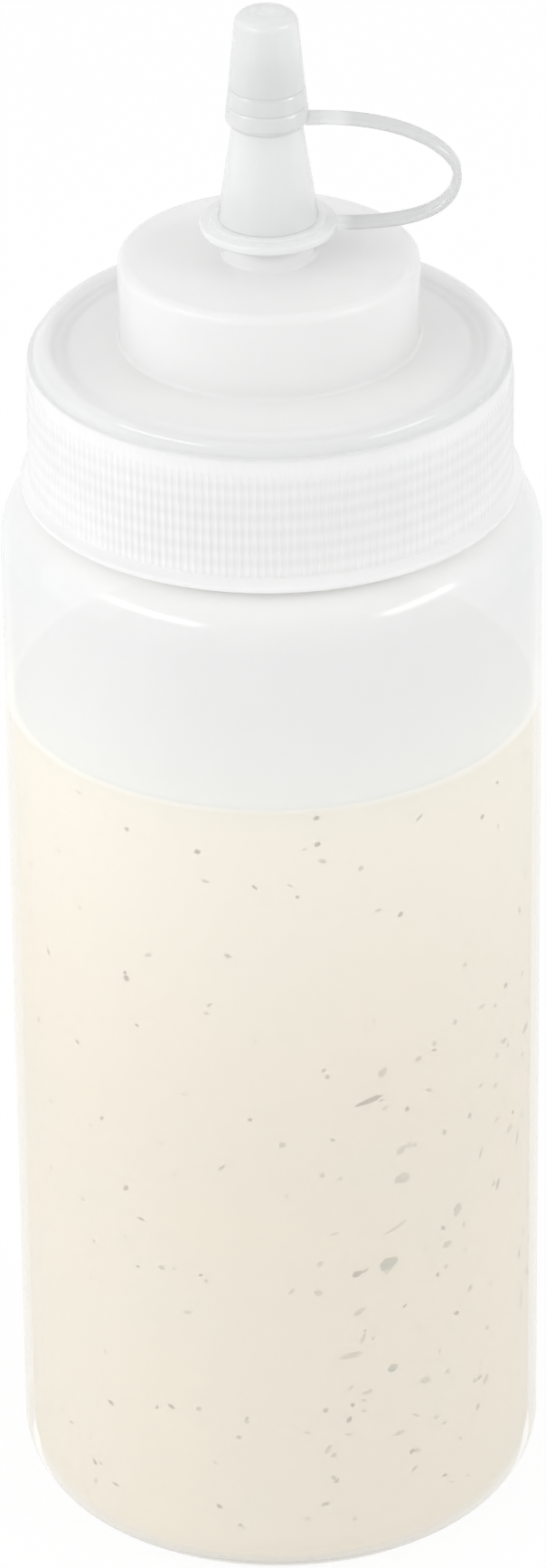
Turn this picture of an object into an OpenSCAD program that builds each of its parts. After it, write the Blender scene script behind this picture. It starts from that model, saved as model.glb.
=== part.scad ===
// Squeeze bottle for sauce with a screw cap, a cone nozzle and a tethered tip cap.
// Millimetres, +Z up. The origin is the centre of the base, on the surface that the bottle stands on.

/* [Bottle] */
// Outer diameter of the straight body
bottle_d = 72; // [66:0.5:90]
// Height at which the straight wall ends and the shoulder starts
body_h = 144.8; // [100:0.2:200]
// Thickness of the squeezable wall and floor
bottle_wall = 1.1; // [0.7:0.1:2]
// Radius of the round at the foot
foot_round = 6.8; // [4:0.2:10]
// Radius of the round at the shoulder
shoulder_round = 8.2; // [6:0.2:12]
// Depth of the hollow under the base
base_hollow = 1.6; // [0.6:0.2:3]
// Width of the flat ring that the bottle stands on
base_land = 2.4; // [1.5:0.1:4]
// Outer diameter of the neck, under the thread
neck_d = 58.4; // [50:0.2:62]
// Thickness of the neck's wall
neck_wall = 1.6; // [1.2:0.1:2.2]
// Height of the neck above its foot on the shoulder
neck_h = 19.7; // [18:0.1:28]

/* [Sauce] */
// Height of the sauce above the table
fill_z = 122; // [20:1:140]
// Gap left between the sauce's solid and the wall
sauce_gap = 0.05; // [0.02:0.01:0.2]

/* [Thread] */
// Rise of the thread over one turn
thread_pitch = 4.4; // [4:0.1:5]
// Height of the thread's ridge
thread_depth = 1; // [0.8:0.05:1.3]
// Width of the ridge at its foot
thread_foot_w = 1.9; // [1.4:0.1:2.1]
// Width of the ridge at its crest
thread_crest_w = 0.8; // [0.4:0.1:1.2]
// Turns of thread on the neck
neck_turns = 2; // [1:0.25:2.25]
// Turns of thread in the cap
cap_turns = 1.5; // [0.75:0.25:1.75]
// Gap between a ridge and the wall that it faces
thread_gap = 0.35; // [0.25:0.05:0.6]

/* [Cap] */
// Thickness of the skirt's wall
skirt_wall = 1.35; // [1:0.05:2]
// Gap between the skirt's lower end and the foot of the neck
rim_gap = 0.15; // [0.1:0.05:1]
// How far the rim stands out from the skirt
rim_flare = 1.3; // [0.4:0.1:2.5]
// Height of the straight band of the rim
rim_band = 0.7; // [0.4:0.1:1.5]
// Height of the slope from the rim up to the skirt
rim_slope = 0.8; // [0.4:0.1:2]
// Number of grip ribs round the skirt
rib_count = 197; // [60:1:240]
// How far a grip rib stands out
rib_depth = 0.25; // [0.1:0.05:0.5]
// Height of the smooth band above the grip ribs
plain_band = 2; // [1:0.1:4]
// Thickness of the lid
lid_t = 1.6; // [1.2:0.1:2.4]
// Set-back of the lid's edge from the skirt
lid_step = 0.7; // [0.3:0.1:1.5]
// Radius of the lid's rounded edge
lid_round = 2.7; // [1.2:0.1:2.8]
// Diameter of the raised drum in the middle of the lid
drum_d = 39.6; // [30:0.2:46]
// Height of the drum above the lid
drum_h = 11.7; // [4:0.1:18]
// Thickness of the drum's wall and top
drum_wall = 1.5; // [1:0.1:2.2]
// Radius of the drum's rounded edge
drum_round = 1.3; // [0.5:0.1:1.4]
// Depth of the plug seal that reaches into the mouth
plug_h = 3; // [1.5:0.1:5]
// Thickness of the plug seal
plug_wall = 1; // [0.8:0.1:1.6]
// Radial running gap between the plug seal and the mouth
plug_gap = 0.08; // [0.03:0.01:0.1]

/* [Nozzle] */
// Diameter of the collar at the nozzle's foot
collar_d = 12.2; // [11.8:0.1:14]
// Height of the collar
collar_h = 3.6; // [1.5:0.1:6]
// Diameter of the groove that holds the tether's ring
groove_d = 11; // [10.4:0.1:11.2]
// Diameter of the cone just above the groove
cone_foot_d = 13.2; // [12.6:0.1:15]
// Height of the cone from the groove to the tip
cone_h = 20.8; // [16:0.1:30]
// Diameter of the cone at its tip
cone_tip_d = 6.9; // [6:0.1:8]
// Diameter of the bore at the foot of the nozzle
bore_foot_d = 8.6; // [7:0.1:8.8]
// Diameter of the opening at the tip
orifice_d = 4.2; // [2:0.1:4.6]

/* [Tether] */
// Outer diameter of the ring
ring_d = 18; // [16.4:0.1:22]
// Thickness of the ring and of the strap
tether_t = 1.1; // [0.8:0.05:1.4]
// Diameter of the ring's raised hub
ring_hub_d = 15.2; // [14.4:0.1:16]
// Height of the hub above the ring
ring_hub_h = 0.45; // [0.3:0.05:0.8]
// Radial running gap between the ring and the nozzle
ring_gap = 0.08; // [0.03:0.01:0.1]
// Play of the ring along the groove, above and below it
ring_play = 0.05; // [0.03:0.01:0.1]
// Width of the strap
strap_w = 3; // [2:0.1:4]
// Distance from the nozzle's axis to the far end of the loop
strap_reach = 24.6; // [20:0.1:32]

/* [Tip cap] */
// Height of the tip cap
tip_h = 15.5; // [13:0.1:18]
// Diameter of the tip cap at its widest
tip_d = 11; // [10.8:0.1:13]
// Diameter of the tip cap where its top edge starts to round
tip_top_d = 8.1; // [7.8:0.1:9]
// Radius of the round at the top edge
tip_round = 1.6; // [0.6:0.1:2]
// Thickness of the tip cap's top
tip_top_t = 2.5; // [1.2:0.1:3]
// Radial gap between the tip cap and the nozzle's cone
tip_gap = 0.08; // [0.03:0.01:0.1]
// Length of the nozzle that the tip cap covers
tip_cover = 7.4; // [4:0.1:10]

/* [Hidden] */
$fn = 96;
eps = 0.02;

body_r = bottle_d / 2;
neck_r = neck_d / 2;
mouth_r = neck_r - neck_wall;
// How far in from the body the neck stands, and the height of the shoulder's arc there
neck_inset = body_r - neck_r;
shoulder_rise = neck_inset < shoulder_round
    ? sqrt(pow(shoulder_round, 2) - pow(shoulder_round - neck_inset, 2)) : shoulder_round;
neck_foot_z = body_h + shoulder_rise;
lip_z = neck_foot_z + neck_h;
lip_round = 0.4;
hollow_r = body_r - foot_round - base_land;
hollow_run = 2;
floor_z = bottle_wall + base_hollow;

thread_sink = 0.3;
thread_lead = 30;
thread_step = 7.5;
neck_thread_top = lip_z - 3;
neck_thread_z = neck_thread_top - thread_pitch * neck_turns;

skirt_bore_r = neck_r + thread_depth + thread_gap;
skirt_r = skirt_bore_r + skirt_wall;
skirt_z = neck_foot_z + rim_gap;
rim_top_z = skirt_z + rim_band + rim_slope;
lid_z = lip_z + lid_t;
lid_r = skirt_r - lid_step;
step_z = lid_z - lid_round;
ribs_top_z = step_z - plain_band;
rib_root = 0.03;
bore_round = 1.4;
bore_chamfer = 0.8;
cap_thread_z = rim_top_z + 2.4;
// The turn at which the cap's thread starts, so that it runs midway between the neck's ridges
cap_thread_a = 360 * (cap_thread_z - neck_thread_z + thread_pitch / 2) / thread_pitch;
plug_r = mouth_r - plug_gap;

drum_r = drum_d / 2;
drum_top_z = lid_z + drum_h;
drum_foot_round = 0.5;
collar_top_z = drum_top_z + collar_h;
groove_h = tether_t + ring_hub_h + 2 * ring_play;
cone_z = collar_top_z + groove_h;
tip_z = cone_z + cone_h;
nozzle_round = 0.3;
// Radius of the nozzle's cone at a height
function cone_r(z) = cone_foot_d / 2 - (cone_foot_d - cone_tip_d) / 2 * (z - cone_z) / cone_h;

ring_z = collar_top_z + ring_play;
ring_bore_r = groove_d / 2 + ring_gap;
lug_out = 1.3;
ring_lug_x = ring_d / 2 + lug_out;

tip_cap_z = tip_z - tip_cover;
tip_cap_top_z = tip_cap_z + tip_h;
tip_lip = 0.8;
tip_lug_x = tip_d / 2 + lug_out;
tip_head_room = 0.4;

// What a round of radius r takes off a corner at the origin, with the material to its left and below
module edge_cut(r) translate([-r, -r]) difference() {
    square(r + eps);
    circle(r);
}

// What fills a hollow corner at the origin with a round of radius r, the walls to its left and below
module corner_fill(r) difference() {
    translate([-eps, -eps]) square(r + eps);
    translate([r, r]) circle(r);
}

// Half section of the bottle's body and neck, moved in by inset, from a floor up to a top
module vessel_section(inset, bottom_z, throat_r, top_z) difference() {
    union() {
        translate([0, bottom_z]) square([body_r - inset, body_h - bottom_z]);
        translate([0, body_h - eps]) square([body_r - shoulder_round, shoulder_round - inset + eps]);
        translate([body_r - shoulder_round, body_h]) circle(shoulder_round - inset);
        translate([0, body_h]) square([throat_r, top_z - body_h]);
    }
    translate([body_r - inset, bottom_z]) mirror([0, 1]) edge_cut(foot_round - inset);
}

// Half section of the hollow under the base, thickened by t, with its flat top at top_z
module hollow_section(t, top_z) {
    slope_x = hollow_r + t * sqrt(1 + pow(hollow_run, 2));
    polygon([[0, -1], [slope_x + hollow_run, -1], [slope_x - hollow_run * top_z, top_z], [0, top_z]]);
}

// A ridge that winds up a cylinder of radius wall_r, out from it, or into it where depth is negative
module thread(wall_r, depth, start_z, start_a, turns) {
    out = sign(depth);
    steps = ceil(360 * turns / thread_step);
    foot_r = wall_r - out * thread_sink;
    points = [for (i = [0:steps])
        let (a = 360 * turns * i / steps,
             rise = min(1, a / thread_lead, (360 * turns - a) / thread_lead),
             crest_r = wall_r + out * (rise * abs(depth) - (1 - rise) * thread_sink / 2),
             foot = [foot_r, thread_foot_w / 2],
             crest = [crest_r, thread_crest_w / 2],
             near = out > 0 ? foot : crest,
             far = out > 0 ? crest : foot)
        for (p = [[near.x, -near.y], [far.x, -far.y], far, near])
            [p.x * cos(start_a + a), p.x * sin(start_a + a), start_z + thread_pitch * a / 360 + p.y]];
    sides = [for (i = [0:steps - 1], j = [0:3])
        let (a = 4 * i + j, b = 4 * i + (j + 1) % 4)
        for (f = [[a, b, b + 4], [a, b + 4, a + 4]]) f];
    polyhedron(points, concat([[2, 1, 0], [3, 2, 0]], sides,
        [[4 * steps, 4 * steps + 1, 4 * steps + 2], [4 * steps, 4 * steps + 2, 4 * steps + 3]]));
}

// The blown bottle: thin wall, hollow base, round shoulder and threaded neck
module bottle() color([0.93, 0.94, 0.94, 0.6]) {
    rotate_extrude() difference() {
        vessel_section(0, 0, neck_r, lip_z);
        hollow_section(0, base_hollow);
        difference() {
            vessel_section(bottle_wall, bottle_wall, mouth_r, lip_z + 1);
            hollow_section(bottle_wall, floor_z);
        }
        translate([neck_r, lip_z]) edge_cut(lip_round);
    }
    thread(neck_r, thread_depth, neck_thread_z, 0, neck_turns);
}

// The sauce, a closed solid that fills the bottle up to the fill line
module sauce() color([0.94, 0.91, 0.85]) rotate_extrude() difference() {
    intersection() {
        vessel_section(bottle_wall + sauce_gap, bottle_wall + sauce_gap, mouth_r, lip_z);
        square([body_r, fill_z]);
    }
    hollow_section(bottle_wall + sauce_gap, floor_z);
}

// Half section of the cap's outside: rim, plain skirt, lid and drum
module cap_outline() {
    translate([0, skirt_z]) square([skirt_r + rim_flare, rim_band]);
    polygon([[0, skirt_z + rim_band], [skirt_r + rim_flare, skirt_z + rim_band],
        [skirt_r, rim_top_z], [0, rim_top_z]]);
    translate([0, rim_top_z]) square([skirt_r - skirt_wall / 4, ribs_top_z - rim_top_z]);
    translate([0, ribs_top_z]) square([skirt_r, step_z - ribs_top_z]);
    difference() {
        translate([0, ribs_top_z]) square([lid_r, lid_z - ribs_top_z]);
        translate([lid_r, lid_z]) edge_cut(lid_round);
    }
    difference() {
        translate([0, step_z]) square([drum_r, drum_top_z - step_z]);
        translate([drum_r, drum_top_z]) edge_cut(drum_round);
    }
    translate([drum_r, lid_z]) corner_fill(drum_foot_round);
}

// Half section of the nozzle's outside: collar, groove for the ring, and cone
module nozzle_outline() difference() {
    polygon([[0, drum_top_z - drum_wall], [collar_d / 2, drum_top_z - drum_wall],
        [collar_d / 2, collar_top_z], [groove_d / 2, collar_top_z], [groove_d / 2, cone_z],
        [cone_foot_d / 2, cone_z], [cone_tip_d / 2, tip_z], [0, tip_z]]);
    translate([cone_tip_d / 2, tip_z]) edge_cut(nozzle_round);
}

// Half section of everything hollow in the cap
module cap_hollow() {
    difference() {
        translate([0, skirt_z - 1]) square([skirt_bore_r, lip_z - skirt_z + 1]);
        translate([skirt_bore_r, lip_z]) edge_cut(bore_round);
    }
    polygon([[0, skirt_z - 1], [skirt_bore_r + bore_chamfer + 1, skirt_z - 1],
        [skirt_bore_r, skirt_z + bore_chamfer], [0, skirt_z + bore_chamfer]]);
    translate([0, lip_z - 1]) square([drum_r - drum_wall, drum_top_z - drum_wall - lip_z + 1]);
    polygon([[0, drum_top_z - drum_wall - eps], [bore_foot_d / 2, drum_top_z - drum_wall - eps],
        [bore_foot_d / 2, drum_top_z], [orifice_d / 2, tip_z + eps], [0, tip_z + eps]]);
}

// The plug seal under the lid, which fits in the mouth
module plug_section() {
    translate([plug_r - plug_wall, lip_z - plug_h]) difference() {
        square([plug_wall, plug_h + lid_t / 2]);
        mirror([0, 1]) translate([plug_wall, 0]) edge_cut(plug_wall / 2);
    }
}

// The grip ribs, a ring with a saw edge that stands a little proud of the bands above and below it
module ribs() translate([0, 0, rim_top_z]) linear_extrude(ribs_top_z - rim_top_z) difference() {
    polygon([for (i = [0:2 * rib_count - 1])
        let (a = 180 * i / rib_count, r = skirt_r + (i % 2 == 0 ? rib_depth : rib_root))
        [r * cos(a), r * sin(a)]]);
    circle(skirt_bore_r + skirt_wall / 2);
}

// The screw cap with its nozzle, one moulding
module cap() color([0.92, 0.93, 0.93, 0.7]) {
    rotate_extrude() {
        difference() {
            union() {
                cap_outline();
                nozzle_outline();
            }
            cap_hollow();
        }
        plug_section();
    }
    ribs();
    thread(skirt_bore_r, -thread_depth, cap_thread_z, cap_thread_a, cap_turns);
}

// A block that joins the strap to a round part, out to x, with its middle at height z
module strap_lug(from_x, x, z) translate([from_x, -strap_w / 2, z - tether_t / 2])
    cube([x - from_x, strap_w, tether_t]);

// The tether's ring, which turns in the nozzle's groove
module tether_ring() color([0.90, 0.91, 0.91, 0.8]) {
    rotate_extrude() difference() {
        union() {
            translate([ring_bore_r, ring_z]) square([ring_d / 2 - ring_bore_r, tether_t]);
            translate([ring_bore_r, ring_z]) square([ring_hub_d / 2 - ring_bore_r, tether_t + ring_hub_h]);
        }
        translate([ring_d / 2, ring_z + tether_t]) edge_cut(tether_t / 4);
        translate([ring_d / 2, ring_z]) mirror([0, 1]) edge_cut(tether_t / 4);
        translate([ring_hub_d / 2, ring_z + tether_t + ring_hub_h]) edge_cut(ring_hub_h / 2);
    }
    strap_lug(ring_hub_d / 2, ring_lug_x, ring_z + tether_t / 2);
}

// A point of a cubic curve through a and d, pulled towards b and c
function curve(a, b, c, d, t) =
    pow(1 - t, 3) * a + 3 * pow(1 - t, 2) * t * b + 3 * (1 - t) * pow(t, 2) * c + pow(t, 3) * d;

// The strap's middle line in X and Z, from the tip cap round to the ring
strap_steps = 16;
strap_from = [tip_lug_x, tip_cap_z + tether_t / 2];
strap_to = [ring_lug_x, ring_z + tether_t / 2];
strap_far = [strap_reach, strap_to.y + 0.46 * (strap_from.y - strap_to.y)];
strap_points = concat(
    [for (i = [0:strap_steps]) curve(strap_from,
        [strap_from.x + 0.66 * (strap_reach - strap_from.x), strap_from.y],
        [strap_reach, strap_far.y + 0.42 * (strap_from.y - strap_far.y)], strap_far, i / strap_steps)],
    [for (i = [1:strap_steps]) curve(strap_far,
        [strap_reach, strap_to.y + 0.2 * (strap_far.y - strap_to.y)],
        [strap_to.x + 0.58 * (strap_reach - strap_to.x), strap_to.y], strap_to, i / strap_steps)]);

// The direction of the line at a point, across the points beside it, level at both ends
function along(i) = let (n = len(strap_points) - 1)
    i == 0 ? [1, 0] : i == n ? [-1, 0]
    : let (d = strap_points[i + 1] - strap_points[i - 1]) d / norm(d);

// The strap, a flat ribbon bent into a loop
module tether_strap() color([0.87, 0.88, 0.88, 0.9]) {
    n = len(strap_points) - 1;
    side = function (s) [for (i = [0:n]) strap_points[i] + s * tether_t / 2 * [-along(i).y, along(i).x]];
    outer = side(1);
    inner = side(-1);
    translate([0, strap_w / 2, 0]) rotate([90, 0, 0]) linear_extrude(strap_w)
        polygon(concat(outer, [for (i = [n:-1:0]) inner[i]]));
}

// The tip cap that closes the nozzle: tapered, with two fine grooves and a rounded top
module tip_cap() color([0.90, 0.91, 0.91, 0.8]) {
    groove_r = 0.25;
    dimple_r = 1.4;
    widest_z = tip_cap_z + tip_lip;
    round_z = tip_cap_top_z - tip_round;
    difference() {
        union() {
            rotate_extrude() difference() {
                polygon([[0, tip_cap_z], [tip_d / 2 - tip_lip * 0.75, tip_cap_z], [tip_d / 2, widest_z],
                    [tip_top_d / 2, round_z], [tip_top_d / 2, tip_cap_top_z], [0, tip_cap_top_z]]);
                translate([tip_top_d / 2, tip_cap_top_z]) edge_cut(tip_round);
                translate([0, tip_cap_top_z - groove_r / 2]) square([dimple_r, 1]);
                for (z = [widest_z + 1.9, widest_z + 4.3])
                    translate([tip_d / 2 - (tip_d - tip_top_d) / 2 * (z - widest_z) / (round_z - widest_z), z])
                        circle(groove_r);
            }
            strap_lug(0, tip_lug_x, tip_cap_z + tether_t / 2);
        }
        rotate_extrude() {
            head_z = tip_z + tip_head_room;
            top_z = tip_cap_top_z - tip_top_t;
            polygon([[0, tip_cap_z - 1], [cone_r(tip_cap_z - 1) + tip_gap, tip_cap_z - 1],
                [cone_r(tip_z) + tip_gap, tip_z], [cone_r(tip_z) + tip_gap, head_z], [0, head_z]]);
            polygon([[0, tip_z], [cone_r(tip_z) - 0.9, tip_z], [cone_r(tip_z) - 0.9, head_z],
                [cone_r(tip_z) - 1.3, top_z], [0, top_z]]);
        }
    }
}

bottle();
sauce();
cap();
tether_ring();
tether_strap();
tip_cap();
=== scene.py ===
import bmesh
import bpy
import math
import random
from mathutils import Matrix, Vector


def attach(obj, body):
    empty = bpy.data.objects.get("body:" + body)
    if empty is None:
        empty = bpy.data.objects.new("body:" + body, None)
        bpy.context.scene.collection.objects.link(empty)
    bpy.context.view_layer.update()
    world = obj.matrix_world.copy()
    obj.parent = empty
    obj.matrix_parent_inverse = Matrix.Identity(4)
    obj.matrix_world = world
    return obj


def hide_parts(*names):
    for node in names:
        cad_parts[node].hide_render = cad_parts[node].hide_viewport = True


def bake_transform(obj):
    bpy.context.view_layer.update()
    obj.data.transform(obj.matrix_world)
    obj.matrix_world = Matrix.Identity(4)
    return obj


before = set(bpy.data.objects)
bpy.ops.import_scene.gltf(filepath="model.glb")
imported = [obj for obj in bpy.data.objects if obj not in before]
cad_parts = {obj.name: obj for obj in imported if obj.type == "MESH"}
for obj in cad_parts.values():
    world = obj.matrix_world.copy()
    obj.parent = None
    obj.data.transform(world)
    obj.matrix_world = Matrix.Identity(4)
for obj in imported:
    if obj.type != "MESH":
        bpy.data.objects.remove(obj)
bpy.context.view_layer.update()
scene = bpy.context.scene

# Camera. The photograph looks down on the bottle from the front through a long lens, and the
# bottle leans a little to the left in it.
AIM = Vector((-0.00019, 0, 0.10638))
LOOK_DOWN = math.radians(29.27)
CAMERA_AWAY = 1.094
LENS_MM, SENSOR_MM, NEAREST = 185.73, 36, 0.05
LEAN = math.radians(-0.63)

camera = bpy.data.objects.new("camera", bpy.data.cameras.new("camera"))
scene.collection.objects.link(camera)
scene.camera = camera
camera.data.lens = LENS_MM
camera.data.sensor_width = SENSOR_MM
camera.data.clip_start = NEAREST
back = Vector((0, -math.cos(LOOK_DOWN), math.sin(LOOK_DOWN)))
camera.matrix_world = (Matrix.Translation(AIM + back * CAMERA_AWAY)
                       @ back.to_track_quat("Z", "Y").to_matrix().to_4x4()
                       @ Matrix.Rotation(LEAN, 4, "Z"))

# Bottle. Blow-moulded from milky natural polyethylene: a thin squeezable wall, a hollow base, a
# round shoulder and a threaded neck. Where the sauce wets the wall it turns clearer, and above
# it the wall stays cloudy.
MM = 0.001  # the sizes of the bottle and its pieces are in mm
BODY_R, BODY_TOP, WALL = 36.0, 144.8, 1.1
BODY_STEPS = 256
HOLLOW, HOLLOW_R, STANDING_R, FOOT_ROUND = 1.6, 23.6, 26.8, 6.8
SHOULDER_MID, SHOULDER_R = 27.8, 8.2
NECK_R, NECK_WALL, LIP = 29.2, 1.6, 172.58
NECK_FOOT, NECK_FOOT_INSIDE = 152.88, 151.9
PITCH, NECK_TURNS = 4.4, 2
NECK_THREAD_FOOT = LIP - 3 - NECK_TURNS * PITCH
THREAD_LEAD = math.radians(30)
PARTING_LINES, PARTING_OUT = (-155, 25), 0.05
FILL_Z = 122.0

MILKY, SMEARED = (0.868, 0.876, 0.882), (0.90, 0.91, 0.885)
# The first colour of the next row is a painted light for the neck under the cap's rim.
NECK_PAINTED_LIGHT, WETTED = (0.94, 0.942, 0.942), (0.868, 0.836, 0.762)


def half_section(corners, closed=False):
    """A piece's half section as a chain of edges in the XZ plane. A corner is a radius and a
    height, with a third number where it is rounded."""
    bm = bmesh.new()
    verts = [bm.verts.new((c[0] * MM, 0, c[1] * MM)) for c in corners]
    for a, b in zip(verts, verts[1:]):
        bm.edges.new((a, b))
    if closed:
        bm.edges.new((verts[-1], verts[0]))
    for vert, corner in zip(verts, corners):
        if len(corner) < 3:
            continue
        away = [e.other_vert(vert).co - vert.co for e in vert.link_edges]
        reach = corner[2] * MM / math.tan(away[0].angle(away[1]) / 2)
        bmesh.ops.bevel(bm, geom=[vert], offset=reach, offset_type="OFFSET",
                        segments=round(2 + 2.2 * corner[2]), profile=0.5, affect="VERTICES",
                        material=-1, clamp_overlap=False)
    return bm


def turn(bm, steps):
    """Spins a half section about the bottle's axis into a closed skin."""
    bmesh.ops.spin(bm, geom=bm.verts[:] + bm.edges[:], cent=(0, 0, 0), axis=(0, 0, 1),
                   angle=math.tau, steps=steps, use_merge=True, use_duplicate=False)
    bmesh.ops.remove_doubles(bm, verts=bm.verts[:], dist=1e-7)
    bmesh.ops.recalc_face_normals(bm, faces=bm.faces[:])


def thread_ridge(bm, wall_r, out, foot_z, start_deg, turns, steps_per_turn=96):
    """Adds a screw ridge that winds up a wall of radius wall_r. It stands out mm proud of the
    wall, or into it where out is negative, and fades into the wall at both ends."""
    ridge = bmesh.new()
    root = wall_r - out * 0.2
    outline = [(root, -0.85), (wall_r, -0.8), (wall_r + out * 0.75, -0.52), (wall_r + out, -0.3),
               (wall_r + out, 0.3), (wall_r + out * 0.75, 0.52), (wall_r, 0.8), (root, 0.85)]
    turned_to = Matrix.Rotation(math.radians(start_deg), 3, "Z")
    verts = [ridge.verts.new(turned_to @ Vector((r * MM, 0, (foot_z + z) * MM)))
             for r, z in outline]
    face = ridge.faces.new(verts)
    bmesh.ops.spin(ridge, geom=[face] + face.edges[:] + face.verts[:], cent=(0, 0, 0),
                   axis=(0, 0, 1), dvec=(0, 0, PITCH * MM / steps_per_turn),
                   angle=math.tau * turns, steps=round(turns * steps_per_turn),
                   use_merge=False, use_duplicate=False)
    for v in ridge.verts:
        along = (v.co.z / MM - foot_z) / PITCH * math.tau
        left = math.tau * turns - along
        rise = max(0, min(1, (along + 0.05) / THREAD_LEAD, (left + 0.05) / THREAD_LEAD))
        r = math.hypot(v.co.x, v.co.y) / MM
        deep = (r - wall_r) * out
        if deep > 0:
            v.co.xy *= (wall_r + out * (deep * rise - 0.15 * (1 - rise))) / r
    bmesh.ops.recalc_face_normals(ridge, faces=ridge.faces[:])
    held = bpy.data.meshes.new("ridge")
    ridge.to_mesh(held)
    bm.from_mesh(held)
    bpy.data.meshes.remove(held)
    ridge.free()


def finish_piece(name, bm, material, sharp_deg=32):
    """Makes the bmesh a smooth-shaded object with its sharp edges kept."""
    mesh = bpy.data.meshes.new(name)
    bm.to_mesh(mesh)
    bm.free()
    piece = bpy.data.objects.new(name, mesh)
    scene.collection.objects.link(piece)
    mesh.materials.append(material)
    mesh.shade_smooth()
    mesh.set_sharp_from_angle(angle=math.radians(sharp_deg))
    return piece


def new_finish(name):
    """A new material, with its nodes, its links and its shader."""
    made = bpy.data.materials.new(name)
    made.use_nodes = True
    nodes = made.node_tree.nodes
    return made, nodes, made.node_tree.links, nodes["Principled BSDF"]


def node(nodes, kind, **settings):
    """Adds a node. A setting is one of its inputs, or else one of its properties."""
    made = nodes.new(kind)
    for key, value in settings.items():
        if key in made.inputs:
            made.inputs[key].default_value = value
        else:
            setattr(made, key, value)
    return made


def spread(nodes, links, value, low, high):
    """Turns a factor of 0 to 1 into a value that runs from low to high."""
    made = node(nodes, "ShaderNodeMapRange")
    made.inputs["To Min"].default_value, made.inputs["To Max"].default_value = low, high
    links.new(value, made.inputs["Value"])
    return made.outputs["Result"]


def mottle(nodes, links, factor, first, second):
    """Mixes two plain colours."""
    mix = node(nodes, "ShaderNodeMix", data_type="RGBA")
    mix.inputs["A"].default_value, mix.inputs["B"].default_value = (*first, 1), (*second, 1)
    links.new(factor, mix.inputs["Factor"])
    return mix.outputs["Result"]


def cloudy_plastic(name, colour, alpha, roughness, ripple=0.003, ripple_mm=9.0, cloud=0.02):
    """Milky polyethylene: a pale body colour with faint flow clouds, a satin skin with a slow
    ripple, and part of the light let straight through."""
    made, nodes, links, skin = new_finish(name)
    skin.inputs["IOR"].default_value = 1.51
    skin.inputs["Alpha"].default_value = alpha
    place = node(nodes, "ShaderNodeTexCoord")
    clouds = node(nodes, "ShaderNodeTexNoise", Scale=55.0, Detail=3.0)
    links.new(place.outputs["Object"], clouds.inputs["Vector"])
    tint = mottle(nodes, links, clouds.outputs["Fac"], [c * (1 - cloud) for c in colour],
                  [min(1, c * (1 + cloud)) for c in colour])
    links.new(tint, skin.inputs["Base Color"])
    gloss = spread(nodes, links, clouds.outputs["Fac"], roughness * 0.85, roughness * 1.15)
    links.new(gloss, skin.inputs["Roughness"])
    wave = node(nodes, "ShaderNodeTexNoise", Scale=1000.0 / ripple_mm, Detail=2.0)
    bump = node(nodes, "ShaderNodeBump", Strength=1.0, Distance=ripple * MM)
    links.new(place.outputs["Object"], wave.inputs["Vector"])
    links.new(wave.outputs["Fac"], bump.inputs["Height"])
    links.new(bump.outputs["Normal"], skin.inputs["Normal"])
    return made


def rise_between(material, start, end, axis="Z"):
    """A factor that runs from 0 to 1 between two heights, or two places on another axis."""
    nodes, links = material.node_tree.nodes, material.node_tree.links
    spot = node(nodes, "ShaderNodeSeparateXYZ")
    links.new(nodes["Texture Coordinate"].outputs["Object"], spot.inputs["Vector"])
    rise = node(nodes, "ShaderNodeMapRange", interpolation_type="SMOOTHSTEP")
    rise.inputs["From Min"].default_value = start * MM
    rise.inputs["From Max"].default_value = end * MM
    links.new(spot.outputs[axis], rise.inputs["Value"])
    return rise.outputs["Result"]


def lay_tone(material, factor, colour):
    """Lays another colour over the material's own, as far as the factor says."""
    nodes, links = material.node_tree.nodes, material.node_tree.links
    base = nodes["Principled BSDF"].inputs["Base Color"]
    mix = node(nodes, "ShaderNodeMix", data_type="RGBA")
    mix.inputs["B"].default_value = (*colour, 1)
    links.new(factor, mix.inputs["Factor"])
    links.new(base.links[0].from_socket, mix.inputs["A"])
    links.new(mix.outputs["Result"], base)


def wall_plastic(name, wet_alpha, dry_alpha):
    """The bottle's plastic. Backed by sauce it clears and takes its cream colour. Just above
    that a film of sauce tints it, and the upper shoulder and neck carry a painted light against
    the shade under the cap's rim."""
    made = cloudy_plastic(name, MILKY, dry_alpha, 0.16, ripple=0.02, ripple_mm=16)
    nodes, links = made.node_tree.nodes, made.node_tree.links
    lay_tone(made, rise_between(made, FILL_Z + 22, FILL_Z - 4), SMEARED)
    # Painted light: the upper shoulder and neck under the cap's rim are painted lighter, to lift
    # the shade that falls there.
    lay_tone(made, rise_between(made, BODY_TOP + 3, NECK_FOOT - 1), NECK_PAINTED_LIGHT)
    lay_tone(made, rise_between(made, FILL_Z + 0.9, FILL_Z - 0.4), WETTED)
    dry = rise_between(made, FILL_Z - 0.4, FILL_Z + 0.9)
    links.new(spread(nodes, links, dry, wet_alpha, dry_alpha),
              nodes["Principled BSDF"].inputs["Alpha"])
    return made


def shoulder(r, first_deg, last_deg, step_deg):
    """Points round the shoulder's quarter circle."""
    turned = [math.radians(a) for a in range(first_deg, last_deg, step_deg)]
    return [(SHOULDER_MID + r * math.cos(a), BODY_TOP + r * math.sin(a)) for a in turned]


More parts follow.
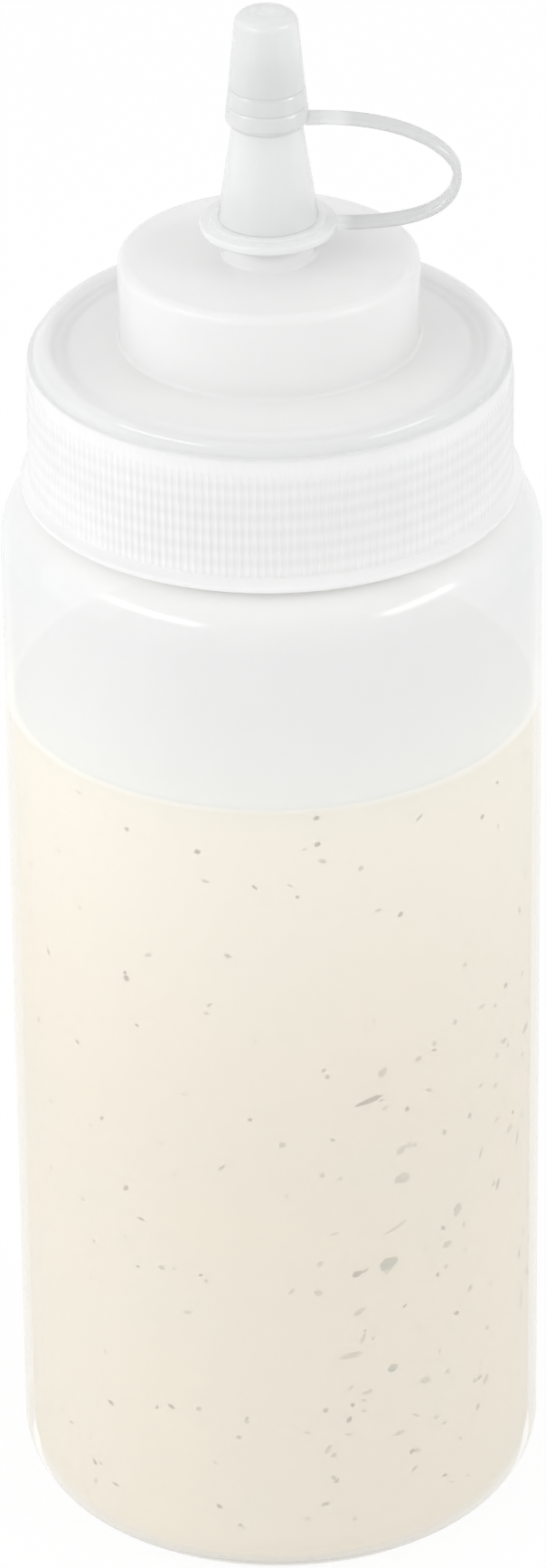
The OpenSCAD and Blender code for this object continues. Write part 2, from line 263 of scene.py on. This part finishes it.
bm = half_section([
    (0, HOLLOW), (HOLLOW_R, HOLLOW, 2), (STANDING_R, 0, 0.8), (BODY_R, 0, FOOT_ROUND),
    (BODY_R, BODY_TOP), *shoulder(SHOULDER_R, 6, 78, 6), (NECK_R, NECK_FOOT, 0.5),
    (NECK_R, LIP, 0.4), (NECK_R - NECK_WALL, LIP, 0.4),
    (NECK_R - NECK_WALL, NECK_FOOT_INSIDE, 0.8),
    *shoulder(SHOULDER_R - WALL, 78, 6, -6), (BODY_R - WALL, BODY_TOP),
    (BODY_R - WALL, WALL, FOOT_ROUND - WALL), (STANDING_R + 0.26, WALL, 0.8),
    (HOLLOW_R + 0.26, HOLLOW + WALL, 2), (0, HOLLOW + WALL)])
turn(bm, BODY_STEPS)
for v in bm.verts:
    if v.co.xy.length > (BODY_R - 0.3) * MM and 6 * MM < v.co.z < BODY_TOP * MM:
        around = math.atan2(v.co.y, v.co.x)
        off_line = min(abs(math.remainder(around - math.radians(line), math.tau))
                       for line in PARTING_LINES)
        if off_line < math.pi / BODY_STEPS:
            v.co.xy *= (BODY_R + PARTING_OUT) / BODY_R
inside = []
for f in bm.faces:
    middle = f.calc_center_median()
    on_floor = 2 * MM < middle.z < 3 * MM
    if on_floor or f.normal.xy.dot(middle.xy) < 0:
        inside.append(f.index)
thread_ridge(bm, NECK_R, 1, NECK_THREAD_FOOT, 0, NECK_TURNS)
bottle = finish_piece("bottle", bm, wall_plastic("bottle_plastic", 0.5, 0.6))
bottle.data.materials.append(wall_plastic("bottle_inside", 0.03, 0.5))
for i in inside:
    bottle.data.polygons[i].material_index = 1
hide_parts("bottle")
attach(bottle, "bottle")

# Sauce. Thick cream dressing, filled to a little below the shoulder and paler near its surface.
# It takes the shape of the bottle's inside, a hair clear of the wall.
SAUCE_GAP = 0.05
SAUCE_R, SAUCE_FOOT = BODY_R - WALL - SAUCE_GAP, WALL + SAUCE_GAP
CREAM, CREAM_WARM, CREAM_PALE = (0.80, 0.765, 0.67), (0.84, 0.77, 0.655), (0.93, 0.90, 0.835)
PALES_FROM = 60

sauce_finish, nodes, links, skin = new_finish("sauce")
skin.inputs["Roughness"].default_value = 0.38
skin.inputs["IOR"].default_value = 1.45
place = node(nodes, "ShaderNodeTexCoord")
swirl = node(nodes, "ShaderNodeTexNoise", Scale=24.0, Detail=4.0, Distortion=1.2)
links.new(place.outputs["Object"], swirl.inputs["Vector"])
cream = node(nodes, "ShaderNodeValToRGB")
for stop, at, colour in zip(cream.color_ramp.elements, (0.30, 0.72), (CREAM, CREAM_WARM)):
    stop.position, stop.color = at, (*colour, 1)
links.new(swirl.outputs["Fac"], cream.inputs["Fac"])
links.new(cream.outputs["Color"], skin.inputs["Base Color"])
lay_tone(sauce_finish, rise_between(sauce_finish, PALES_FROM, FILL_Z + 10), CREAM_PALE)

bm = half_section([
    (0, HOLLOW + SAUCE_FOOT), (HOLLOW_R + 0.3, HOLLOW + SAUCE_FOOT, 2),
    (STANDING_R + 0.28, SAUCE_FOOT, 0.8), (SAUCE_R, SAUCE_FOOT, FOOT_ROUND - SAUCE_FOOT),
    (SAUCE_R, FILL_Z, 0.1), (SAUCE_R - 1.2, FILL_Z - 0.5, 1.5), (0, FILL_Z - 0.5)])
turn(bm, BODY_STEPS)
sauce = finish_piece("sauce", bm, sauce_finish)
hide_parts("sauce")
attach(sauce, "bottle")

# Herb flecks. Flakes of dried herb and pepper stirred into the dressing. Those that lie flat
# against the sauce's side show through the bottle's wall. A few stand out in front, and the
# rest are scattered.
PEPPER, HERB, SUNK = 0, 1, 2
FLECK_FINISHES = (("pepper", (0.10, 0.06, 0.035), (0.34, 0.23, 0.13)),
                  ("herb", (0.17, 0.19, 0.14), (0.40, 0.42, 0.31)),
                  ("sunk_fleck", (0.38, 0.365, 0.285), (0.58, 0.53, 0.42)))
FLECK_THICK, SCATTERED, DRIFTED = 0.06, 280, 60
# The flakes that stand out in front: azimuth, height, length, width, lean and kind.
BOLD_FLECKS = (
    (20.5, 76, 4, 0.8, 12, PEPPER), (27, 55, 4, 0.5, 22, SUNK), (25, 49.5, 2.8, 2, 20, HERB),
    (17.5, 49, 1.7, 1, 15, PEPPER), (38, 45, 0.8, 0.8, 0, PEPPER), (59, 53.5, 1.8, 0.9, 60, HERB),
    (44, 54, 2.2, 1.4, 60, SUNK), (28.5, 62.5, 2.4, 1.8, 0, SUNK), (26, 32.5, 1.6, 1.2, 10, HERB),
    (-17, 115, 1, 0.9, 0, PEPPER), (9, 120.5, 1, 0.8, 0, PEPPER), (-35, 93, 1.2, 1, 30, PEPPER),
    (52, 113, 0.9, 0.9, 0, PEPPER), (-34, 116, 1, 0.7, 0, HERB), (16, 36, 3.4, 1, 4, SUNK))
chance = random.Random(4)


def fleck_finish(name, dark, light):
    """A flake of dried herb or pepper, mottled between two colours."""
    made, nodes, links, skin = new_finish(name)
    skin.inputs["Roughness"].default_value = 0.6
    place = node(nodes, "ShaderNodeTexCoord")
    grain = node(nodes, "ShaderNodeTexNoise", Scale=900.0, Detail=2.0)
    links.new(place.outputs["Object"], grain.inputs["Vector"])
    links.new(mottle(nodes, links, grain.outputs["Fac"], dark, light), skin.inputs["Base Color"])
    return made


def fleck(bm, azimuth_deg, height, length, width, lean_deg, kind):
    """Lays one flake round the sauce's side. Azimuth 0 faces the camera, and turns to its
    right."""
    fineness = 2 if length > 1.5 else 1
    flake = bmesh.ops.create_icosphere(bm, subdivisions=fineness, radius=0.5)["verts"]
    lean = math.radians(lean_deg)
    for v in flake:
        x = v.co.x * length * chance.uniform(0.8, 1.15)
        z = v.co.z * width * chance.uniform(0.7, 1.2)
        along = x * math.cos(lean) - z * math.sin(lean)
        up = x * math.sin(lean) + z * math.cos(lean)
        a, r = math.radians(azimuth_deg) + along / SAUCE_R, SAUCE_R + v.co.y * FLECK_THICK
        v.co = (r * math.sin(a) * MM, -r * math.cos(a) * MM, (height + up) * MM)
    for f in {f for v in flake for f in v.link_faces}:
        f.material_index = kind


bm = bmesh.new()
for bold in BOLD_FLECKS:
    fleck(bm, *bold)
for _ in range(SCATTERED):
    fleck(bm, chance.uniform(-180, 180), 8 + 112 * chance.random() ** 1.2,
          chance.uniform(0.5, 1.4), chance.uniform(0.4, 0.9), chance.uniform(-40, 70),
          chance.choice((PEPPER, HERB, SUNK, SUNK, SUNK)))
for _ in range(DRIFTED):  # closer together on the right
    fleck(bm, chance.uniform(0, 85), chance.uniform(18, 85), chance.uniform(0.8, 2.0),
          chance.uniform(0.5, 1.2), chance.uniform(-40, 70),
          chance.choice((HERB, SUNK, SUNK, SUNK)))
bmesh.ops.recalc_face_normals(bm, faces=bm.faces[:])
finishes = [fleck_finish(*kind) for kind in FLECK_FINISHES]
flecks = finish_piece("herb_flecks", bm, finishes[PEPPER])
flecks.data.materials.append(finishes[HERB])
flecks.data.materials.append(finishes[SUNK])
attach(flecks, "bottle")

# Screw cap. One moulding in milky polyethylene: a flared rim, fine grip ribs, a lid with a step,
# the raised drum, and the cone nozzle with a groove for the tether's ring. A thread and a plug
# seal are inside.
RIBS, RIB_OUT = 197, 0.17
RIB_STEPS, RIB_TURNS = 4, (0, 0.5, 0.68, 0.82)  # the corners of one rib, as shares of the pitch
SKIRT_R, BORE_R, RIM_R, LID_R = 31.9, 30.55, 33.2, 31.2
SKIRT_FOOT, RIM_TOP, RIBS_TOP, STEP, LID = 153.03, 154.53, 169.48, 171.48, 174.18
DRUM_R, DRUM_TOP, DRUM_WALL = 19.8, 185.88, 1.5
GROOVE, CONE_FOOT, TIP = 189.48, 191.13, 211.93
COLLAR_R, GROOVE_R, CONE_R, TIP_R = 6.1, 5.5, 6.6, 3.45
BORE_FOOT_R, ORIFICE_R = 4.3, 2.1
PLUG_IN_R, PLUG_R, PLUG_H = 26.52, 27.52, 3
CAP_THREAD_FOOT, CAP_TURNS = 156.93, 1.5
SKIRT_WHITE, LID_TONE = (0.985, 0.99, 0.99), (0.935, 0.937, 0.937)
# The first grey below is the tether's own grey, and also the painted shade on the lid's rounding
# and the nozzle. The second is the painted shade of the bands on the skirt.
GREY_AND_PAINTED_SHADE, THREAD_SHADE_GREY = (0.86, 0.865, 0.865), (0.5, 0.5, 0.5)


def reckon(nodes, links, operation, *values):
    """One step of arithmetic on the outputs of nodes and on plain numbers."""
    made = node(nodes, "ShaderNodeMath", operation=operation)
    for place, value in zip(made.inputs, values):
        if isinstance(value, (int, float)):
            place.default_value = value
        else:
            links.new(value, place)
    return made.outputs["Value"]


cap_plastic = cloudy_plastic("cap_plastic", SKIRT_WHITE, 0.66, 0.12)
nodes, links = cap_plastic.node_tree.nodes, cap_plastic.node_tree.links
nodes["Principled BSDF"].inputs["Transmission Weight"].default_value = 0.15
nodes["Principled BSDF"].inputs["Specular IOR Level"].default_value = 0.35
lay_tone(cap_plastic, rise_between(cap_plastic, RIBS_TOP, STEP + 0.5), LID_TONE)
# Painted shade: the lid's outer rounding above the step is painted grey, to hold down the
# highlight that falls on it.
painted_rounding_shade = reckon(nodes, links, "MULTIPLY", rise_between(cap_plastic, LID - 0.2, LID - 1.2),
                  rise_between(cap_plastic, STEP - 0.4, STEP))
lay_tone(cap_plastic, painted_rounding_shade, GREY_AND_PAINTED_SHADE)
# Painted shade: the nozzle above the drum is painted greyer, to hold down the light it gathers
# from all round.
lay_tone(cap_plastic, rise_between(cap_plastic, DRUM_TOP + 1, GROOVE), GREY_AND_PAINTED_SHADE)
# Painted shade: faint grey bands that climb with the threads inside, painted on the skirt to stand
# in for the threads' shaded flanks seen through it.
spot = node(nodes, "ShaderNodeSeparateXYZ")
links.new(nodes["Texture Coordinate"].outputs["Object"], spot.inputs["Vector"])
bearing = reckon(nodes, links, "ARCTAN2", spot.outputs["Y"], spot.outputs["X"])
climb = reckon(nodes, links, "MULTIPLY_ADD", spot.outputs["Z"], 4 * math.pi / (PITCH * MM),
               reckon(nodes, links, "MULTIPLY", bearing, -2))
painted_thread_bands = node(nodes, "ShaderNodeMapRange")
painted_thread_bands.inputs["From Min"].default_value = -1
painted_thread_bands.inputs["To Min"].default_value, painted_thread_bands.inputs["To Max"].default_value = 0.1, 0
links.new(reckon(nodes, links, "SINE", climb), painted_thread_bands.inputs["Value"])
on_skirt = rise_between(cap_plastic, RIBS_TOP, RIBS_TOP - 1.5)
lay_tone(cap_plastic, reckon(nodes, links, "MULTIPLY", painted_thread_bands.outputs["Result"], on_skirt),
         THREAD_SHADE_GREY)

bm = half_section([
    (BORE_R + 0.8, SKIRT_FOOT, 0.15), (RIM_R, SKIRT_FOOT, 0.2), (RIM_R, SKIRT_FOOT + 0.7, 0.3),
    (SKIRT_R + 0.1, RIM_TOP, 0.2), (SKIRT_R, RIM_TOP + 0.35), (SKIRT_R, RIM_TOP + 0.9),
    (SKIRT_R, RIBS_TOP - 0.6), (SKIRT_R, RIBS_TOP), (SKIRT_R, STEP, 0.15), (LID_R, STEP, 0.1),
    (LID_R, LID, 2.7), (DRUM_R, LID, 0.5), (DRUM_R, DRUM_TOP, 1.3), (COLLAR_R, DRUM_TOP, 0.4),
    (COLLAR_R, GROOVE, 0.1), (GROOVE_R, GROOVE), (GROOVE_R, CONE_FOOT), (CONE_R, CONE_FOOT, 0.15),
    (TIP_R, TIP, 0.3), (ORIFICE_R, TIP, 0.2), (BORE_FOOT_R, DRUM_TOP, 1),
    (BORE_FOOT_R, DRUM_TOP - DRUM_WALL, 0.3), (DRUM_R - DRUM_WALL, DRUM_TOP - DRUM_WALL, 1),
    (DRUM_R - DRUM_WALL, LIP, 0.3), (PLUG_IN_R, LIP, 0.2), (PLUG_IN_R, LIP - PLUG_H, 0.3),
    (PLUG_R, LIP - PLUG_H, 0.5), (PLUG_R, LIP, 0.2), (BORE_R, LIP, 1.4),
    (BORE_R, SKIRT_FOOT + 0.8, 0.2)], closed=True)
bmesh.ops.spin(bm, geom=bm.verts[:] + bm.edges[:], cent=(0, 0, 0), axis=(0, 0, 1),
               angle=math.tau / RIBS, steps=RIB_STEPS, use_merge=False, use_duplicate=False)
for v in bm.verts:
    r, z = math.hypot(v.co.x, v.co.y) / MM, v.co.z / MM
    step = round(math.atan2(v.co.y, v.co.x) / math.tau * RIBS * RIB_STEPS)
    if 0 < step < RIB_STEPS:
        ribbed = abs(r - SKIRT_R) < 0.02 and RIM_TOP + 0.3 < z < RIBS_TOP - 0.1
        out = RIB_OUT if step > 1 and ribbed else 0
        turned_to = Matrix.Rotation(RIB_TURNS[step] * math.tau / RIBS, 2)
        v.co.xy = turned_to @ Vector(((r + out) * MM, 0))
one_rib = bpy.data.meshes.new("one_rib")
bm.to_mesh(one_rib)
bm.clear()
for i in range(RIBS):
    turned_rib = one_rib.copy()
    turned_rib.transform(Matrix.Rotation(i * math.tau / RIBS, 4, "Z"))
    bm.from_mesh(turned_rib)
    bpy.data.meshes.remove(turned_rib)
bmesh.ops.remove_doubles(bm, verts=bm.verts[:], dist=2e-6)
bmesh.ops.recalc_face_normals(bm, faces=bm.faces[:])
clear_of_neck = 360 * (CAP_THREAD_FOOT - NECK_THREAD_FOOT + PITCH / 2) / PITCH
thread_ridge(bm, BORE_R, -1, CAP_THREAD_FOOT, clear_of_neck, CAP_TURNS)
cap = finish_piece("screw_cap", bm, cap_plastic, sharp_deg=62)
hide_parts("cap")
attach(cap, "screw_cap")

# Tether ring. The soft ring that snaps into the nozzle's groove, with a raised hub and a lug for
# the strap. Ring, strap and tip cap are one moulding, whiter in the thick ring and greyer in the
# thin strap.
RING_Z, RING_T, HUB_UP = 189.53, 1.1, 0.45
RING_BORE_R, HUB_R, RING_R, RING_LUG_X = 5.58, 7.6, 9.0, 10.3
STRAP_W, LUG_CLEAR = 3.0, 0.1
RING_WHITE, STRAP_GREY = (0.96, 0.965, 0.965), (0.72, 0.725, 0.725)
RING_TOP = RING_Z + RING_T

tether_plastic = cloudy_plastic("tether_plastic", GREY_AND_PAINTED_SHADE, 0.75, 0.11)
nodes = tether_plastic.node_tree.nodes
nodes["Principled BSDF"].inputs["Transmission Weight"].default_value = 0.35
lay_tone(tether_plastic, rise_between(tether_plastic, RING_TOP + 4, RING_TOP + 0.6), RING_WHITE)
lay_tone(tether_plastic, rise_between(tether_plastic, RING_R, RING_R + 2.5, "X"), STRAP_GREY)


def lug(bm, from_x, to_x, mid_z):
    """Adds the short tab that joins the strap to a round piece."""
    sized = Matrix.Translation(((from_x + to_x) / 2 * MM, 0, mid_z * MM)) @ Matrix.Diagonal(
        ((to_x - from_x) * MM, (STRAP_W - LUG_CLEAR) * MM, (RING_T - LUG_CLEAR) * MM, 1))
    box = bmesh.ops.create_cube(bm, size=1, matrix=sized)["verts"]
    long_edges = [e for e in {e for v in box for e in v.link_edges}
                  if abs((e.verts[0].co - e.verts[1].co).x) > 1e-6]
    bmesh.ops.bevel(bm, geom=long_edges, offset=0.25 * MM, offset_type="OFFSET", segments=3,
                    profile=0.5, affect="EDGES", material=-1)


bm = half_section([
    (RING_BORE_R, RING_Z, 0.1), (RING_R, RING_Z, 0.3), (RING_R, RING_TOP, 0.3),
    (HUB_R, RING_TOP, 0.2), (HUB_R, RING_TOP + HUB_UP, 0.25),
    (RING_BORE_R, RING_TOP + HUB_UP, 0.15)], closed=True)
turn(bm, 192)
lug(bm, HUB_R - 0.2, RING_LUG_X, RING_Z + RING_T / 2)
ring = finish_piece("tether_ring", bm, tether_plastic)
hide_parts("tether_ring")
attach(ring, "tether")

# Tip cap. The soft end of the tether, pushed over the nozzle's tip: tapered, with a lip, two fine
# grooves and a dimple on top.
TIP_CAP_Z, TIP_CAP_TOP, WIDEST_Z = 204.53, 220.03, 205.33
TIP_CAP_R, TIP_CAP_TOP_R, DIMPLE_R, DIMPLE = 5.5, 4.05, 1.3, 0.13
TAPER = (TIP_CAP_R - TIP_CAP_TOP_R) / 13.1  # radius lost for each mm of height
GRIP_R, GRIP_TOP, HEAD_R, HEAD_TOP = 3.53, 212.33, 2.55, 217.53
TIP_LUG_X = 6.8
groove_corners = []
for z in (207.23, 209.63):
    for off, cut, round_r in ((-0.3, 0, 0.1), (0, 0.22, 0.12), (0.3, 0, 0.1)):
        side_r = TIP_CAP_R - TAPER * (z + off - WIDEST_Z)
        groove_corners.append((side_r - cut, z + off, round_r))

bm = half_section([
    (0, HEAD_TOP), (HEAD_R - 0.4, HEAD_TOP, 0.6), (HEAD_R, GRIP_TOP, 0.2), (GRIP_R, GRIP_TOP, 0.2),
    (GRIP_R, TIP), (4.65, TIP_CAP_Z, 0.15), (4.9, TIP_CAP_Z, 0.1), (TIP_CAP_R, WIDEST_Z, 0.3),
    *groove_corners, (TIP_CAP_TOP_R, TIP_CAP_TOP, 1.6), (DIMPLE_R + 0.2, TIP_CAP_TOP, 0.2),
    (DIMPLE_R, TIP_CAP_TOP - DIMPLE, 0.2), (0, TIP_CAP_TOP - DIMPLE)])
turn(bm, 192)
lug(bm, TIP_CAP_R - 0.5, TIP_LUG_X, TIP_CAP_Z + RING_T / 2)
tip_cap = finish_piece("tip_cap", bm, tether_plastic)
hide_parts("tip_cap")
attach(tip_cap, "tip")

# Tether strap. A flat ribbon moulded in one with the ring and the tip cap, bent round in a loop
# between them. It is swept along a curve in the XZ plane.
STRAP_REACH = 24.6
tip_end = Vector((TIP_LUG_X, 0, TIP_CAP_Z + RING_T / 2))
ring_end = Vector((RING_LUG_X, 0, RING_Z + RING_T / 2))
far = Vector((STRAP_REACH, 0, ring_end.z + 0.46 * (tip_end.z - ring_end.z)))

route = bpy.data.curves.new("strap_route", "CURVE")
route.dimensions = "3D"
route.twist_mode = "Z_UP"
route.resolution_u = 40
route.bevel_depth = RING_T / 2 * MM
route.bevel_resolution = 3
route.extrude = (STRAP_W - RING_T) / 2 * MM
route.use_fill_caps = True
bends = route.splines.new("BEZIER")
bends.bezier_points.add(2)
for point, at, before, after in zip(bends.bezier_points, (tip_end, far, ring_end),
                                    ((-4, 0), (0, 3.2), (8.3, 0)),
                                    ((11.7, 0), (0, -5.2), (-4, 0))):
    flat = Vector((at.x, at.z))
    point.co = (*(flat * MM), 0)
    point.handle_left_type = point.handle_right_type = "FREE"
    point.handle_left = (*((flat + Vector(before)) * MM), 0)
    point.handle_right = (*((flat + Vector(after)) * MM), 0)
laid = bpy.data.objects.new("strap_route", route)
bm = bmesh.new()
bm.from_mesh(laid.to_mesh())
bpy.data.objects.remove(laid)
bmesh.ops.rotate(bm, verts=bm.verts[:], cent=(0, 0, 0),
                 matrix=Matrix.Rotation(math.radians(90), 3, "X"))
bmesh.ops.remove_doubles(bm, verts=bm.verts[:], dist=1e-6)
bmesh.ops.recalc_face_normals(bm, faces=bm.faces[:])
strap = finish_piece("tether_strap", bm, tether_plastic)
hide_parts("tether_strap")
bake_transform(strap)

# Studio. A white table and a white surround, with a wide soft box and a tall panel on each side
# of the bottle.
TABLE_WHITE, TABLE_GLOW, SURROUND = (0.9, 0.9, 0.9), 0.94, 0.815
LAMPS_AT = Vector((0, 0, 0.12))


def seen_by(nodes, links, *rays):
    """1 for the kinds of ray named, and 0 for the others."""
    path = node(nodes, "ShaderNodeLightPath")
    seen = path.outputs[rays[0]]
    for ray in rays[1:]:
        seen = reckon(nodes, links, "MAXIMUM", seen, path.outputs[ray])
    return seen


def soft_box(name, azimuth_deg, height_m, away_m, size_m, watts):
    """An area lamp, aimed at the bottle's middle. Azimuth 0 is at the camera, and turns to its
    right."""
    lamp = bpy.data.lights.new(name, "AREA")
    lamp.shape = "RECTANGLE"
    lamp.size, lamp.size_y = size_m
    lamp.energy = watts
    placed = bpy.data.objects.new(name, lamp)
    scene.collection.objects.link(placed)
    a = math.radians(azimuth_deg)
    placed.location = (away_m * math.sin(a), -away_m * math.cos(a), height_m)
    placed.rotation_mode = "QUATERNION"
    placed.rotation_quaternion = (placed.location - LAMPS_AT).to_track_quat("Z", "Y")
    placed.visible_camera = False


floor_mesh = bpy.data.meshes.new("floor")
bm = bmesh.new()
bmesh.ops.create_grid(bm, x_segments=1, y_segments=1, size=3)
bm.to_mesh(floor_mesh)
bm.free()
floor = bpy.data.objects.new("floor", floor_mesh)
scene.collection.objects.link(floor)
table, nodes, links, skin = new_finish("table")
skin.inputs["Base Color"].default_value = (*TABLE_WHITE, 1)
skin.inputs["Roughness"].default_value = 0.6
glow = node(nodes, "ShaderNodeEmission", Strength=1.0)
seen = seen_by(nodes, links, "Is Camera Ray", "Is Glossy Ray")
mixed = node(nodes, "ShaderNodeMixShader")
links.new(reckon(nodes, links, "MULTIPLY", seen, TABLE_GLOW), mixed.inputs["Fac"])
links.new(skin.outputs[0], mixed.inputs[1])
links.new(glow.outputs[0], mixed.inputs[2])
links.new(mixed.outputs[0], nodes["Material Output"].inputs["Surface"])
floor_mesh.materials.append(table)

world = bpy.data.worlds.new("surround")
scene.world = world
world.use_nodes = True
nodes, links = world.node_tree.nodes, world.node_tree.links
seen = seen_by(nodes, links, "Is Camera Ray", "Is Glossy Ray", "Is Transmission Ray")
links.new(spread(nodes, links, seen, SURROUND, 1.0), nodes["Background"].inputs["Strength"])
nodes["Background"].inputs["Color"].default_value = (1, 1, 1, 1)

soft_box("left_box", -55, 0.78, 1.1, (0.95, 0.16), 4.6)
soft_box("right_box", 68, 0.78, 1.1, (0.75, 0.16), 3.4)
soft_box("left_panel", -88, 0.45, 1.1, (0.9, 1.2), 2.5)
soft_box("right_panel", 90, 0.45, 1.1, (0.9, 1.2), 1.2)

scene.view_settings.view_transform = "Standard"
scene.cycles.transparent_max_bounces = 40
scene.cycles.max_bounces = 24
scene.cycles.diffuse_bounces = 12
scene.cycles.transmission_bounces = 24

bpy.context.view_layer.update()
